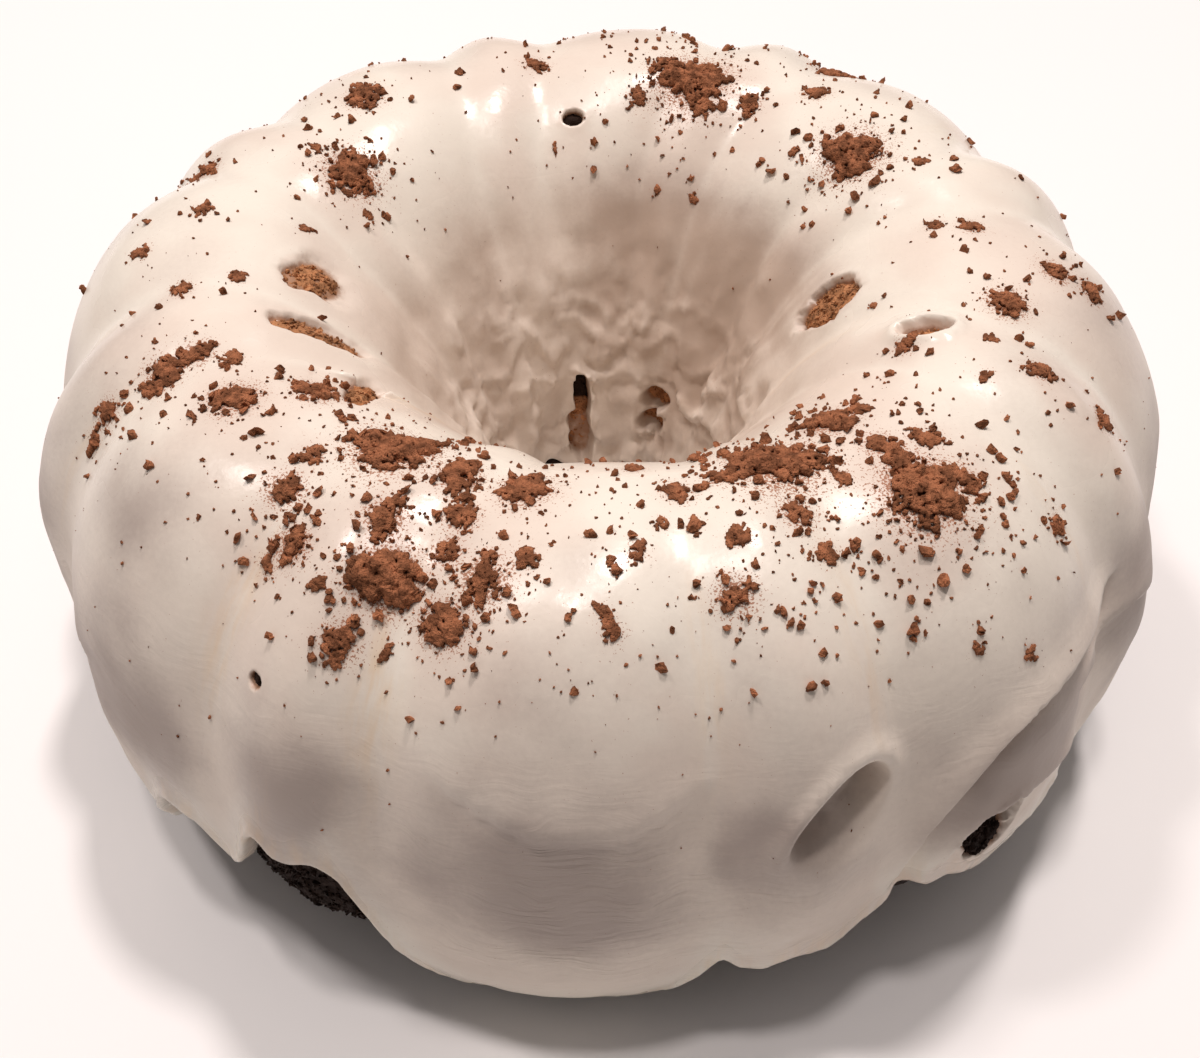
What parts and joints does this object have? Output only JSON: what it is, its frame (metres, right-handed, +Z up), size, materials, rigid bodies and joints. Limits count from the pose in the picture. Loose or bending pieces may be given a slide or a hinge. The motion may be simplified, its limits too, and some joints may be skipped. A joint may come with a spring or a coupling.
{
  "type": "bundt cake",
  "caption": "Fluted chocolate ring cake under a poured coat of pale icing that hangs in tongues, with heaps of cocoa on its crest and a funnel-shaped hole in the middle.",
  "frame": {"origin": "centre of the box around the whole cake, on the plane the cake rests on", "axes": "+Z up through the centre hole, -Y towards the front of the cake, +X to the viewer's right"},
  "size_m": [0.238, 0.238, 0.1036],
  "materials": {
    "chocolate_sponge": "rough open crumb, nearly black brown, dull",
    "icing": "smooth poured sugar icing, satin with soft highlights, slightly translucent",
    "cocoa": "dry reddish brown powder, fully dull"
  },
  "bodies": {
    "root": {"sponge": "chocolate_sponge", "icing": "icing", "cocoa_heap_1": "cocoa", "cocoa_heap_2": "cocoa", "cocoa_heap_3": "cocoa", "cocoa_heap_4": "cocoa", "cocoa_heap_5": "cocoa", "cocoa_heap_6": "cocoa", "cocoa_heap_7": "cocoa"}
  },
  "joints": []
}
